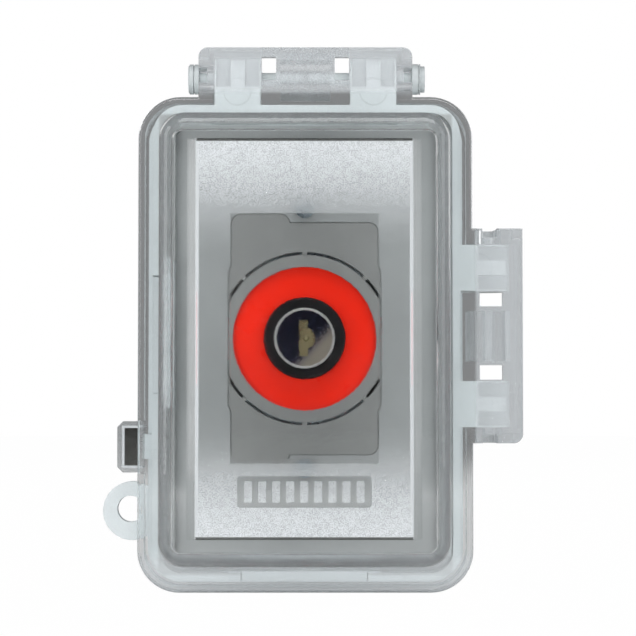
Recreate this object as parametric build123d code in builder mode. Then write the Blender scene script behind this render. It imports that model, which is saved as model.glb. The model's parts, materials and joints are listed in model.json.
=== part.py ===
from build123d import *
import os
from math import cos, radians, sin

# Manual call point: a key switch behind a red face, under a weatherproof cover with a clear
# deep lid.  Millimetres.
#
# Frame: X to the right, Z up, Y into the wall.  The origin lies on the key switch's axis, in
# the plane of the wall that the back box is screwed to.  A depth is a distance in front of
# the wall, so depth d is the plane y = -d.

# ---- back box ------------------------------------------------------------------------------
BOX_WIDTH = 71.0
BOX_HEIGHT = 116.0
BOX_DEPTH = 50.0
BOX_WALL = 3.0
BOX_CORNER = 6.0
GANG_SCREW_SPACING = 83.34
GANG_SCREW_RADIUS = 1.75
LUG_WIDTH = 12.0
LUG_INNER_EDGE = 37.5
LUG_LENGTH = 13.0
HUB_RADIUS = 14.5
HUB_BORE = 10.4
HUB_LENGTH = 8.0
HUB_DEPTH = 25.0
EAR_WIDTH = 14.0
EAR_THICKNESS = 4.0
EAR_HOLE_RADIUS = 2.6
EAR_SPACING_X = 52.0
EAR_SPACING_Z = 128.0
HUB_PLUG_RIM = 1.5
HUB_PLUG_SLOT = (2.0, 3.0)
GROUND_SCREW_PLACE = (18.0, -28.0)
GROUND_SCREW_RADIUS = 1.9
GROUND_SCREW_HEAD = (4.0, 2.4)
GASKET_OVERHANG = 5.0
GASKET_OPENING = (62.0, 98.0)

# ---- depths of the stack -------------------------------------------------------------------
BOX_GASKET = 2.0
BASE_BACK = BOX_DEPTH + BOX_GASKET
FLOOR_THICKNESS = 4.0
FLOOR_FRONT = BASE_BACK + FLOOR_THICKNESS
PLATE_THICKNESS = 2.0
LEDGE_FRONT = FLOOR_FRONT - PLATE_THICKNESS
FLANGE_BACK = 66.0
RIM_FRONT = FLANGE_BACK - 0.3
FLANGE_THICKNESS = 2.2
FLANGE_FRONT = FLANGE_BACK + FLANGE_THICKNESS
HOOD_FRONT = 118.0
SKIRT_BACK = 56.6

# ---- cover outline -------------------------------------------------------------------------
COVER_CENTRE = (0.3, -2.0)
COVER_WIDTH = 106.0
COVER_HEIGHT = 156.9
COVER_CORNER = 13.4
SKIRT_WALL = 2.0
SKIRT_GAP = 0.6
BASE_INSET = SKIRT_WALL + SKIRT_GAP
RIM_CENTRE = (0.6, -1.4)
RIM_OUTLINE = (97.6, 150.8, 9.5)
RIM_WALL = 2.5
LEDGE_WIDTH = 4.4
LEDGE_RISE = 5.0
BASE_OPENING = (44.0, 71.0)
HOOD_ROOT = (92.4, 143.8, 6.5)
HOOD_TIP = (85.6, 133.4, 8.0)
HOOD_EDGE = 4.5
FLANGE_EDGE = 1.4
CAVITY_ROOT = (86.0, 137.4, 3.6)
CAVITY_TIP = (78.2, 125.0, 3.2)
CAVITY_EDGE = 0.6
CAVITY_DROP = 0.6
HOOD_WALL = 3.0
LID_LEFT = COVER_CENTRE[0] - COVER_WIDTH / 2
BASE_LEFT = LID_LEFT + BASE_INSET

# ---- raised panel of the lid ---------------------------------------------------------------
PANEL_WIDTH = 69.0
PANEL_FLAT_WIDTH = 62.6
PANEL_HEIGHT = 117.6
PANEL_RISE = 1.5
PANEL_FRONT = HOOD_FRONT + PANEL_RISE
WINDOW = (43.3, 72.0, 3.5)
WINDOW_LIFT = 0.7
WINDOW_RECESS = 0.4
LABEL = (39.2, 9.1, 1.0)
LABEL_DROP = 44.8
LABEL_RECESS = 0.5
LABEL_BARS = 9
LABEL_BAR_PITCH = 4.1
LABEL_BAR = (2.3, 6.2)

# ---- hinge ---------------------------------------------------------------------------------
TOP_STANDOFF = 6.8
RIGHT_STANDOFF = 5.3
RIGHT_HINGE_Z = 0.5
HINGE_DEPTH = 59.0
PIN_RADIUS = 2.1
PIN_RUNNING_FIT = 0.05
PIN_HEADS_LEFT = ((4.8, 1.5), (4.3, 0.3), (4.8, 1.3), (4.4, 0.3))
PIN_HEADS_RIGHT = ((4.9, 2.0), (4.5, 0.3), (4.9, 0.4), (4.2, 1.4))
PIN_END = 1.0
PIN_HEAD_GAP = 0.15
KNUCKLE_RADIUS = 6.8
KNUCKLE_WIDTH = 14.6
KNUCKLE_OFFSET = 21.6
KNUCKLE_FRONT = 6.8
KNUCKLE_BACK = -5.4
POCKET = (2.3, 6.8)
POCKET_SPAN = (-3.4, 5.9)
POCKET_FLOOR = 3.2
CENTRE_KNUCKLE = (16.0, 7.2)
CENTRE_WEB = (-5.0, 5.0)
CENTRE_WEB_BACK = 3.0
LUG_INNER = 29.2
LUG_OUTER = 33.95
LUG_RADIUS = 4.6
GUARD_REACH = 15.7
GUARD_ROOT = 4.0
GUARD_LIP = 1.7
GUARD_LIP_BACK = -2.0
GUARD_CORNER = 3.0
INNER_WINDOW = (9.3, 13.9)
TOP_WINDOW_SPAN = (-1.6, 5.8)
RIGHT_WINDOW_SPAN = (-3.2, 4.0)
OUTER_WINDOW_START = 31.2
OUTER_WINDOW_SPAN = (-2.3, 2.3)
OUTER_WINDOW_BACK = 1.2
EJECTOR_MARK = (4.1, 4.5)
EJECTOR_MARK_DEPTH = 0.3
EJECTOR_MARK_EDGE = 1.6

# ---- latch and padlock eye -----------------------------------------------------------------
LATCH_DROP = 34.6
LATCH_WIDTH = 16.2
LATCH_GAP = 0.3
LATCH_REACH = 6.5
LATCH_ARM = 1.5
LATCH_ARM_BACK = 54.0
LATCH_ARM_FRONT = 65.8
LATCH_TAB_BACK = 62.6
LATCH_TAB = 1.4
LATCH_STEP = 0.9
LATCH_STEPS = (0.0, 1.1, 2.1)
LATCH_CHAMFER = 1.8
LATCH_EDGE_SPAN = (-0.6, 1.0)
CATCH_WIDTH = 8.0
CATCH_RISE = 1.0
CATCH_SPAN = (1.0, 3.0)
EYE_CENTRE = (-55.2, -55.2)
EYE_RADIUS = 9.4
EYE_HOLE_CENTRE = (-55.8, -54.6)
EYE_HOLE_RADIUS = 4.2
EYE_THICKNESS = 3.8
EYE_COUNTERSINK = 1.4

# ---- cord openings and their snap-in covers ------------------------------------------------
PORT_DEPTH = 58.0
PORT_SPAN = (0, RIM_FRONT - PORT_DEPTH)
PORT_RISE = 6.8
PORT_LEFT_Z = 0.9
PORT_LEFT_HALF = (18.75, 23.7)
PORT_BOTTOM_HALF = (20.1, 24.5)
PORT_GAP = 0.35
PORT_GROOVE = (0.6, 0.4)

# ---- insert plate --------------------------------------------------------------------------
PLATE_WIDTH = 47.0
PLATE_HEIGHT = 74.4
PLATE_TALL_HALF = 80.0
PLATE_TALL_EDGE = -4.9
PLATE_CORNER = 3.0
PLATE_BULGE = (48.8, 48.0)
PLATE_FIT = 0.2
RED_HOLE_RADIUS = 23.07
SLIT_RADIUS = 27.35
SLIT_WIDTH = 0.9
SLIT_BRIDGE = 1.6
SLIT_BRIDGES = 8
SLIT_MARGIN = 0.5
RING_RECESS = 0.3
LEDGE_RELIEF_RADIUS = 28.3

# ---- key switch ----------------------------------------------------------------------------
YOKE_THICKNESS = 1.5
YOKE_BACK = BOX_DEPTH - YOKE_THICKNESS
YOKE_PLATE = (38.0, 60.0, 3.0)
YOKE_TONGUE = (14.0, 94.0, 3.0)
DEVICE_SCREW_HEAD = (3.05, 1.8)
DEVICE_SCREW_LENGTH = 18.0
RED_RADIUS = 25.5
RED_THICKNESS = 3.5
RED_FRONT = BOX_DEPTH + RED_THICKNESS
SEAL_THICKNESS = 0.8
SEAL_INSET = 0.4
BEZEL_BACK = RED_FRONT + SEAL_THICKNESS
BEZEL_RADIUS = 13.15
BEZEL_HEIGHT = 4.0
BEZEL_SEAT = 2.0
BEZEL_EDGE = 0.9
SPIGOT_RADIUS = 11.0
SPIGOT_BACK = BOX_DEPTH + 0.3
LOCK_HEAD_RADIUS = 9.75
LOCK_HEAD_BACK = BEZEL_BACK + BEZEL_SEAT
LOCK_HEAD_HEIGHT = 3.0
LOCK_HEAD_EDGE = 0.4
LOCK_HEAD_FIT = 0.15
LOCK_FRONT = LOCK_HEAD_BACK + LOCK_HEAD_HEIGHT
LOCK_FACE_RADIUS = 8.9
LOCK_FACE_THICKNESS = 1.8
BARREL_RADIUS = 8.0
BARREL_BACK = 37.0
PLUG_RADIUS = 6.2
PLUG_FIT = 0.05
FACE_SUNK = 0.2
PLUG_FACE = LOCK_FRONT - FACE_SUNK
PLUG_BACK = 33.0
TAIL_SIZE = 6.0
TAIL_BACK = 31.1
CAM_SCREW_RADIUS = 1.5
CAM_SCREW_LENGTH = 5.0
CAM_SCREW_HEAD = (5.0, 1.6)
KEYWAY = (3.0, 11.6)
KEYWAY_X = -0.35
KEYWAY_DEPTH = 4.6
KEYWAY_BULGE_RADIUS = 3.5
SHUTTER_THICKNESS = 2.9
SHUTTER_BALL = 1.9
FACE_MARKS = (2.4, -0.4, -2.9)
FACE_MARK_SPAN = (-7.3, -4.3)
FACE_MARK_HALF = 0.3
FACE_MARK_DEPTH = 0.15
WAFER = (4.0, 11.0, 1.0)
WAFER_COUNT = 5
WAFER_PITCH = 2.4
WAFER_BACK = 41.0
WAFER_WINDOW = (0.8, 2.6)
KEY_CHANNEL = (1.1, 4.5)
BRACKET_THICKNESS = 1.5
BRACKET_HALF_WIDTH = 17.2
BRACKET_HEIGHT = 48.0
BRACKET_FRONT = YOKE_BACK
BRACKET_BACK = 35.2
WASHER_THICKNESS = 1.0
NUT_ACROSS_FLATS = 24.0
NUT_THICKNESS = 4.0
WASHER_NOTCHES = 14
WASHER_NOTCH_RADIUS = 0.8

# ---- cam and switches ----------------------------------------------------------------------
SWITCH_DEPTH = 32.0
CAM_THICKNESS = 2.0
CAM_TRAVEL = 2.0
CAM_TURN = 90.0
CAM_START_RADIUS = 6.2
CAM_RAMP = 150.0
CAM_LEAD = 15.0
CAM_POINTS = 10
CAM_GAP = 0.35
CASE_HALF_WIDTH = 13.5
CASE_INNER = 10.5
CASE_OUTER = 21.0
CASE_WALL = 1.2
CASE_HALF_THICKNESS = 3.2
CAVITY_HALF_WIDTH = 8.5
BUTTON_RADIUS = 1.2
BUTTON_FLANGE_RADIUS = 1.9
BUTTON_FLANGE = 0.8
BRIDGE = (12.4, 0.5, 2.6)
CONTACT_STRIP = 0.5
CONTACT_TIP_X = 4.2
CONTACT_OUTER_X = 8.3
TERMINAL_END = 27.0
SPRING_RADIUS = 1.35
SPRING_WIRE = 0.2
SPRING_TURNS = 5
SWITCH_SCREW_X = 11.2
SWITCH_SCREW_RADIUS = 1.1
SWITCH_SCREW_HEAD = (2.1, 1.2)
POST_RADIUS = BUTTON_RADIUS - 0.4
POST_LENGTH = 1.0

# Clearance between pieces that don't move against each other.
CLEAR = 0.05
OVERCUT = 1.0


def front(depth):
    """The sketch plane at a depth, facing the viewer, with x right and y up."""
    return Plane.XZ.offset(depth)


def side_plane(x, depth, z, along):
    """A plane facing the viewer whose x runs along the given direction."""
    return Plane(origin=(x, -depth, z), x_dir=along, z_dir=(0, -1, 0))


def slab(depth, width, height, corner, thickness, centre=(0, 0), mode=Mode.ADD):
    """A plate with rounded corners, from its back at a depth towards the viewer."""
    with BuildSketch(front(depth)) as outline:
        with Locations(centre):
            RectangleRounded(width, height, corner)
    extrude(outline.sketch, amount=thickness, mode=mode)


def cover_slab(depth, inset, thickness, mode=Mode.ADD):
    """A plate on the cover's outline, drawn in by an inset."""
    slab(
        depth,
        COVER_WIDTH - 2 * inset,
        COVER_HEIGHT - 2 * inset,
        COVER_CORNER - inset,
        thickness,
        COVER_CENTRE,
        mode,
    )


def disc(depth, radius, thickness, centre=(0, 0), mode=Mode.ADD):
    """A round disc, from its back at a depth towards the viewer."""
    with BuildSketch(front(depth)) as outline:
        with Locations(centre):
            Circle(radius)
    extrude(outline.sketch, amount=thickness, mode=mode)


def block(plane, xs, ys, zs, mode=Mode.ADD):
    """A box between low and high limits along the three axes of a plane."""
    spans = (xs, ys, zs)
    middle = [(low + high) / 2 for low, high in spans]
    size = [high - low for low, high in spans]
    with Locations(plane):
        with Locations(tuple(middle)):
            Box(*size, mode=mode)


def bar(plane, along, radius, length, mode=Mode.ADD):
    """A round bar on a plane's x axis, centred at a distance along it."""
    with Locations(plane):
        with Locations((along, 0, 0)):
            Cylinder(radius, length, rotation=(0, 90, 0), mode=mode)


def slotted_screw(head_radius, head_height, shank_radius, shank_length):
    """A slotted screw along z, with its head standing on the plane."""
    Cylinder(head_radius, head_height, align=(Align.CENTER, Align.CENTER, Align.MIN))
    Cylinder(shank_radius, shank_length, align=(Align.CENTER, Align.CENTER, Align.MAX))
    with Locations((0, 0, head_height)):
        Box(2 * head_radius, head_radius / 3, head_height, mode=Mode.SUBTRACT)


# A hinge plane's x runs along the pin and its y away from the lid; the second value is the
# pin's distance from the lid's edge.
HINGE_TOP = side_plane(
    COVER_CENTRE[0], HINGE_DEPTH, COVER_CENTRE[1] + COVER_HEIGHT / 2 + TOP_STANDOFF, (1, 0, 0)
)
HINGE_RIGHT = side_plane(
    COVER_CENTRE[0] + COVER_WIDTH / 2 + RIGHT_STANDOFF, HINGE_DEPTH, RIGHT_HINGE_Z, (0, 0, -1)
)
HINGES = ((HINGE_TOP, TOP_STANDOFF), (HINGE_RIGHT, RIGHT_STANDOFF))
FLANGE_BEHIND_GUARD = FLANGE_BACK - HINGE_DEPTH
GUARD_FRONT = FLANGE_FRONT - HINGE_DEPTH

# ---- back box, gasket and fittings ---------------------------------------------------------
with BuildPart() as back_box:
    slab(0, BOX_WIDTH, BOX_HEIGHT, BOX_CORNER, BOX_DEPTH)
    for side in (1, -1):
        hub_plane = Plane(origin=(0, -HUB_DEPTH, side * BOX_HEIGHT / 2), z_dir=(0, 0, side))
        with Locations(hub_plane):
            with Locations((0, 0, HUB_LENGTH / 2 - BOX_WALL / 2)):
                Cylinder(HUB_RADIUS, HUB_LENGTH + BOX_WALL)
    for ear_x in (-EAR_SPACING_X / 2, EAR_SPACING_X / 2):
        for side in (1, -1):
            ear_z = side * EAR_SPACING_Z / 2
            root_z = side * (BOX_HEIGHT / 2 - BOX_WALL / 2)
            block(
                front(0),
                (ear_x - EAR_WIDTH / 2, ear_x + EAR_WIDTH / 2),
                sorted((root_z, ear_z)),
                (0, EAR_THICKNESS),
            )
            disc(0, EAR_WIDTH / 2, EAR_THICKNESS, (ear_x, ear_z))
    slab(
        BOX_WALL,
        BOX_WIDTH - 2 * BOX_WALL,
        BOX_HEIGHT - 2 * BOX_WALL,
        BOX_CORNER - BOX_WALL,
        BOX_DEPTH,
        mode=Mode.SUBTRACT,
    )
    for side in (1, -1):
        block(
            front(YOKE_BACK - LUG_LENGTH),
            (-LUG_WIDTH / 2, LUG_WIDTH / 2),
            sorted((side * LUG_INNER_EDGE, side * (BOX_HEIGHT - BOX_WALL) / 2)),
            (0, LUG_LENGTH),
        )
        disc(
            YOKE_BACK - LUG_LENGTH - OVERCUT,
            GANG_SCREW_RADIUS,
            LUG_LENGTH + 2 * OVERCUT,
            (0, side * GANG_SCREW_SPACING / 2),
            Mode.SUBTRACT,
        )
    with Locations((0, -HUB_DEPTH, 0)):
        Cylinder(HUB_BORE, BOX_HEIGHT + 4 * HUB_LENGTH, mode=Mode.SUBTRACT)
    with Locations(front(0)):
        with GridLocations(EAR_SPACING_X, EAR_SPACING_Z, 2, 2):
            Cylinder(EAR_HOLE_RADIUS, 4 * EAR_THICKNESS, mode=Mode.SUBTRACT)
    disc(-OVERCUT, GROUND_SCREW_RADIUS, BOX_WALL + 2 * OVERCUT, GROUND_SCREW_PLACE, Mode.SUBTRACT)

with BuildPart() as hub_plug:
    with Locations((0, -HUB_DEPTH, BOX_HEIGHT / 2 - BOX_WALL)):
        Cylinder(
            HUB_BORE, HUB_LENGTH + BOX_WALL, align=(Align.CENTER, Align.CENTER, Align.MIN)
        )
    plug_top = BOX_HEIGHT / 2 + HUB_LENGTH
    with Locations((0, -HUB_DEPTH, plug_top)):
        Cylinder(
            HUB_RADIUS - OVERCUT, HUB_PLUG_RIM, align=(Align.CENTER, Align.CENTER, Align.MIN)
        )
        Box(HUB_RADIUS, *HUB_PLUG_SLOT, mode=Mode.SUBTRACT)

with BuildPart() as ground_screw:
    with Locations(front(BOX_WALL)):
        with Locations(GROUND_SCREW_PLACE):
            slotted_screw(*GROUND_SCREW_HEAD, GROUND_SCREW_RADIUS, BOX_WALL - CLEAR)

with BuildPart() as box_gasket:
    slab(
        BOX_DEPTH,
        BOX_WIDTH + GASKET_OVERHANG,
        BOX_HEIGHT + GASKET_OVERHANG,
        BOX_CORNER,
        BOX_GASKET,
    )
    slab(BOX_DEPTH, *GASKET_OPENING, PLATE_CORNER, BOX_GASKET, mode=Mode.SUBTRACT)

# ---- insert plate --------------------------------------------------------------------------
with BuildSketch(front(LEDGE_FRONT)) as plate_outline:
    RectangleRounded(PLATE_WIDTH, PLATE_HEIGHT, PLATE_CORNER)
    with Locations(((PLATE_TALL_EDGE - PLATE_WIDTH / 2) / 2, 0)):
        RectangleRounded(PLATE_WIDTH / 2 + PLATE_TALL_EDGE, PLATE_TALL_HALF, PLATE_CORNER)
    RectangleRounded(*PLATE_BULGE, PLATE_CORNER)

with BuildSketch(front(FLOOR_FRONT)) as plate_slits:
    Circle(SLIT_RADIUS + SLIT_WIDTH / 2)
    Circle(SLIT_RADIUS - SLIT_WIDTH / 2, mode=Mode.SUBTRACT)
    with PolarLocations(SLIT_RADIUS, SLIT_BRIDGES):
        Rectangle(SLIT_BRIDGE, SLIT_BRIDGE, mode=Mode.SUBTRACT)
    Rectangle(PLATE_BULGE[0] - 2 * SLIT_MARGIN, PLATE_HEIGHT, mode=Mode.INTERSECT)

with BuildPart() as adapter_plate:
    extrude(plate_outline.sketch, amount=PLATE_THICKNESS)
    disc(
        FLOOR_FRONT - RING_RECESS,
        SLIT_RADIUS - SLIT_WIDTH / 2,
        RING_RECESS,
        mode=Mode.SUBTRACT,
    )
    disc(LEDGE_FRONT, RED_HOLE_RADIUS, PLATE_THICKNESS, mode=Mode.SUBTRACT)
    extrude(plate_slits.sketch, amount=-PLATE_THICKNESS, mode=Mode.SUBTRACT)

# ---- base frame ----------------------------------------------------------------------------
RIM_LEFT = RIM_CENTRE[0] - RIM_OUTLINE[0] / 2
RIM_BOTTOM = RIM_CENTRE[1] - RIM_OUTLINE[1] / 2
# A port plane's origin lies on the rim wall's outer face, and its y points outwards.
PORT_LEFT = side_plane(RIM_LEFT, PORT_DEPTH, PORT_LEFT_Z, (0, 0, 1))
PORT_BOTTOM = side_plane(0, PORT_DEPTH, RIM_BOTTOM, (-1, 0, 0))
PORTS = ((PORT_LEFT, PORT_LEFT_HALF), (PORT_BOTTOM, PORT_BOTTOM_HALF))


def rim_slab(depth, inset, thickness, mode=Mode.ADD):
    """A plate on the rim wall's outline, drawn in by an inset."""
    width, height, corner = RIM_OUTLINE
    slab(
        depth,
        width - 2 * inset,
        height - 2 * inset,
        corner - inset,
        thickness,
        RIM_CENTRE,
        mode,
    )


def knuckle_block(hinge, standoff, along):
    """One base knuckle: a rounded block with a rib between two moulding pockets."""
    low = along - KNUCKLE_WIDTH / 2
    high = along + KNUCKLE_WIDTH / 2
    root = -standoff - BASE_INSET - RIM_WALL
    rim = RIM_FRONT - HINGE_DEPTH
    block(hinge, (low, high), (root, 0), (KNUCKLE_BACK, rim))
    bar(hinge, along, KNUCKLE_RADIUS, KNUCKLE_WIDTH)
    for side in (-1, 1):
        pocket = sorted((along + side * POCKET[0], along + side * POCKET[1]))
        block(hinge, pocket, POCKET_SPAN, (POCKET_FLOOR, KNUCKLE_FRONT + OVERCUT), Mode.SUBTRACT)
    bar(hinge, along, PIN_RADIUS, KNUCKLE_WIDTH + OVERCUT, Mode.SUBTRACT)


with BuildPart() as base_frame:
    cover_slab(BASE_BACK, BASE_INSET, FLOOR_THICKNESS)
    rim_slab(BASE_BACK, 0, RIM_FRONT - BASE_BACK)
    rim_slab(FLOOR_FRONT + LEDGE_RISE, RIM_WALL, RIM_FRONT - FLOOR_FRONT, Mode.SUBTRACT)
    rim_slab(FLOOR_FRONT, RIM_WALL + LEDGE_WIDTH, RIM_FRONT - FLOOR_FRONT, Mode.SUBTRACT)
    for hinge, standoff in HINGES:
        for along in (-KNUCKLE_OFFSET, KNUCKLE_OFFSET):
            knuckle_block(hinge, standoff, along)
    # Padlock eye: a round lug with a countersunk hole.
    disc(BASE_BACK, EYE_RADIUS, EYE_THICKNESS, EYE_CENTRE)
    eye_front = front(BASE_BACK + EYE_THICKNESS)
    with Locations(eye_front):
        with Locations(EYE_HOLE_CENTRE):
            Cylinder(EYE_HOLE_RADIUS, 4 * EYE_THICKNESS, mode=Mode.SUBTRACT)
            Cone(
                EYE_HOLE_RADIUS - EYE_COUNTERSINK,
                EYE_HOLE_RADIUS + EYE_COUNTERSINK,
                2 * EYE_COUNTERSINK,
                mode=Mode.SUBTRACT,
            )
    # Catch for the snap tab.
    block(
        front(FLOOR_FRONT),
        (BASE_LEFT - CATCH_RISE, RIM_LEFT + OVERCUT),
        (-LATCH_DROP - CATCH_WIDTH / 2, -LATCH_DROP + CATCH_WIDTH / 2),
        CATCH_SPAN,
    )
    # Opening for the insert plate, with a ledge behind it that clears the plate's ring.
    slab(BASE_BACK, *BASE_OPENING, PLATE_CORNER, FLOOR_THICKNESS, mode=Mode.SUBTRACT)
    disc(BASE_BACK, LEDGE_RELIEF_RADIUS, LEDGE_FRONT - BASE_BACK, mode=Mode.SUBTRACT)
    offset_outline = offset(plate_outline.sketch, amount=PLATE_FIT, mode=Mode.PRIVATE)
    extrude(offset_outline, amount=PLATE_THICKNESS + OVERCUT, mode=Mode.SUBTRACT)
    for side in (1, -1):
        disc(
            BASE_BACK,
            GANG_SCREW_RADIUS + CLEAR,
            FLOOR_THICKNESS,
            (0, side * GANG_SCREW_SPACING / 2),
            Mode.SUBTRACT,
        )
    # Cord openings, open at the rim: narrow through the wall, wider through the inner ledge.
    for port, (narrow, wide) in PORTS:
        block(port, (-narrow, narrow), (-RIM_WALL, OVERCUT), PORT_SPAN, Mode.SUBTRACT)
        behind = (-RIM_WALL - LEDGE_WIDTH - OVERCUT, -RIM_WALL)
        block(port, (-wide, wide), behind, PORT_SPAN, Mode.SUBTRACT)


def cord_port(port, halves):
    """A snap-in cover for a cord opening: a panel in the wall on a wider inner flange."""
    narrow, wide = halves
    low, high = CLEAR, PORT_RISE
    panel = narrow - PORT_GAP
    flange = wide - PORT_GAP
    groove_width, groove_depth = PORT_GROOVE
    block(port, (-flange, flange), (-RIM_WALL - LEDGE_WIDTH, -RIM_WALL - CLEAR), (low, high))
    block(port, (-panel, panel), (-RIM_WALL - OVERCUT, 0), (low, high))
    for step in (-1, 0, 1):
        middle = step * narrow / 2
        groove = (middle - groove_width / 2, middle + groove_width / 2)
        block(port, groove, (-groove_depth, OVERCUT), (low, high), Mode.SUBTRACT)


with BuildPart() as cord_port_left:
    cord_port(PORT_LEFT, PORT_LEFT_HALF)

with BuildPart() as cord_port_bottom:
    cord_port(PORT_BOTTOM, PORT_BOTTOM_HALF)

# ---- lid -----------------------------------------------------------------------------------


def hinge_guard(hinge, standoff, window_span):
    """The lid's half of a hinge: a hooded guard, two end lugs and a centre knuckle."""
    guard_top = GUARD_REACH - standoff
    lug_root = -standoff - SKIRT_WALL
    flange_root = lug_root - GUARD_ROOT
    block(
        hinge,
        (-LUG_INNER, LUG_INNER),
        (lug_root - OVERCUT / 2, -standoff + OVERCUT),
        (SKIRT_BACK - HINGE_DEPTH - OVERCUT, FLANGE_BEHIND_GUARD),
        Mode.SUBTRACT,
    )
    with BuildSketch(hinge.offset(FLANGE_BEHIND_GUARD)) as guard:
        with Locations((0, (guard_top + flange_root) / 2)):
            Rectangle(2 * LUG_OUTER, guard_top - flange_root)
        outward = Axis(hinge.origin, hinge.y_dir)
        fillet(guard.vertices().sort_by(outward)[-2:], GUARD_CORNER)
    extrude(guard.sketch, amount=FLANGE_THICKNESS)
    block(
        hinge,
        (-LUG_OUTER + GUARD_CORNER, LUG_OUTER - GUARD_CORNER),
        (guard_top - GUARD_LIP, guard_top),
        (GUARD_LIP_BACK, FLANGE_BEHIND_GUARD),
    )
    for side in (-1, 1):
        lug = sorted((side * LUG_INNER, side * LUG_OUTER))
        behind_guard = (GUARD_LIP_BACK, FLANGE_BEHIND_GUARD)
        block(hinge, lug, (lug_root, guard_top - GUARD_CORNER), behind_guard)
        lug_inboard = sorted((side * LUG_INNER, side * (LUG_OUTER - GUARD_CORNER)))
        block(hinge, lug_inboard, (0, guard_top), behind_guard)
        bar(hinge, side * (LUG_INNER + LUG_OUTER) / 2, LUG_RADIUS, LUG_OUTER - LUG_INNER)
    width, radius = CENTRE_KNUCKLE
    bar(hinge, 0, radius, width)
    block(
        hinge,
        (-width / 2, width / 2),
        CENTRE_WEB,
        (CENTRE_WEB_BACK, FLANGE_BEHIND_GUARD),
    )
    for side in (-1, 1):
        inner_window = sorted((side * INNER_WINDOW[0], side * INNER_WINDOW[1]))
        through_guard = (FLANGE_BEHIND_GUARD, GUARD_FRONT)
        block(hinge, inner_window, window_span, through_guard, Mode.SUBTRACT)
        outer_window = sorted((side * OUTER_WINDOW_START, side * (LUG_OUTER + OVERCUT)))
        through_lug = (OUTER_WINDOW_BACK, GUARD_FRONT)
        block(hinge, outer_window, OUTER_WINDOW_SPAN, through_lug, Mode.SUBTRACT)
        # A shallow ring left by the mould's ejector, over each base knuckle.
        ring_inner, ring_outer = EJECTOR_MARK
        with Locations(hinge.offset(GUARD_FRONT)):
            with Locations((side * KNUCKLE_OFFSET, EJECTOR_MARK_EDGE - standoff)):
                with BuildPart(mode=Mode.PRIVATE) as ring:
                    Cylinder(ring_outer, 2 * EJECTOR_MARK_DEPTH)
                    Cylinder(ring_inner, 2 * EJECTOR_MARK_DEPTH, mode=Mode.SUBTRACT)
                add(ring.part, mode=Mode.SUBTRACT)
    bar(hinge, 0, PIN_RADIUS + PIN_RUNNING_FIT, 2 * LUG_OUTER + OVERCUT, Mode.SUBTRACT)


def raised_panel(front_depth):
    """The raised panel's outline swept upwards: sloping sides left and right, upright ends."""
    with BuildSketch(Plane.XY.offset(COVER_CENTRE[1])) as section:
        with BuildLine():
            Polyline(
                (COVER_CENTRE[0] - PANEL_WIDTH / 2, -front_depth),
                (COVER_CENTRE[0] - PANEL_FLAT_WIDTH / 2, -front_depth - PANEL_RISE),
                (COVER_CENTRE[0] + PANEL_FLAT_WIDTH / 2, -front_depth - PANEL_RISE),
                (COVER_CENTRE[0] + PANEL_WIDTH / 2, -front_depth),
                close=True,
            )
        make_face()
    extrude(section.sketch, amount=PANEL_HEIGHT / 2, both=True)


CAVITY_CENTRE = (COVER_CENTRE[0], COVER_CENTRE[1] - CAVITY_DROP)
CAVITY_FRONT = HOOD_FRONT - HOOD_WALL

with BuildPart() as hood_cavity:
    with BuildSketch(front(FLANGE_BACK)):
        with Locations(CAVITY_CENTRE):
            RectangleRounded(*CAVITY_ROOT)
    with BuildSketch(front(CAVITY_FRONT)):
        with Locations(CAVITY_CENTRE):
            RectangleRounded(*CAVITY_TIP)
    loft(ruled=True)
    fillet(hood_cavity.faces().sort_by(Axis.Y)[0].edges(), CAVITY_EDGE)
    raised_panel(CAVITY_FRONT)

with BuildPart() as lid:
    cover_slab(SKIRT_BACK, 0, FLANGE_FRONT - SKIRT_BACK)
    fillet(lid.faces().sort_by(Axis.Y)[0].edges(), FLANGE_EDGE)
    cover_slab(SKIRT_BACK, SKIRT_WALL, FLANGE_BACK - SKIRT_BACK, Mode.SUBTRACT)
    with BuildSketch(front(FLANGE_BACK)):
        with Locations(COVER_CENTRE):
            RectangleRounded(*HOOD_ROOT)
    with BuildSketch(front(HOOD_FRONT)):
        with Locations(COVER_CENTRE):
            RectangleRounded(*HOOD_TIP)
    loft(ruled=True)
    fillet(lid.faces().sort_by(Axis.Y)[0].edges(), HOOD_EDGE)
    raised_panel(HOOD_FRONT)
    add(hood_cavity.part, mode=Mode.SUBTRACT)
    # The window and the label box are sunk into the raised panel.
    window_centre = (COVER_CENTRE[0], COVER_CENTRE[1] + WINDOW_LIFT)
    slab(PANEL_FRONT - WINDOW_RECESS, *WINDOW, WINDOW_RECESS, window_centre, Mode.SUBTRACT)
    label_centre = (COVER_CENTRE[0], COVER_CENTRE[1] - LABEL_DROP)
    slab(PANEL_FRONT - LABEL_RECESS, *LABEL, LABEL_RECESS, label_centre, Mode.SUBTRACT)
    with BuildSketch(front(PANEL_FRONT - LABEL_RECESS)):
        with Locations(label_centre):
            with GridLocations(LABEL_BAR_PITCH, 0, LABEL_BARS, 1):
                Rectangle(*LABEL_BAR)
    extrude(amount=LABEL_RECESS)
    hinge_guard(HINGE_TOP, TOP_STANDOFF, TOP_WINDOW_SPAN)
    hinge_guard(HINGE_RIGHT, RIGHT_STANDOFF, RIGHT_WINDOW_SPAN)
    # Notch in the skirt for the snap tab.
    notch_half = LATCH_WIDTH / 2 + LATCH_GAP
    block(
        front(SKIRT_BACK),
        (LID_LEFT - OVERCUT, LID_LEFT + SKIRT_WALL + CLEAR),
        (-LATCH_DROP - notch_half, -LATCH_DROP + notch_half),
        (-OVERCUT, FLANGE_BACK - SKIRT_BACK),
        Mode.SUBTRACT,
    )


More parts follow.
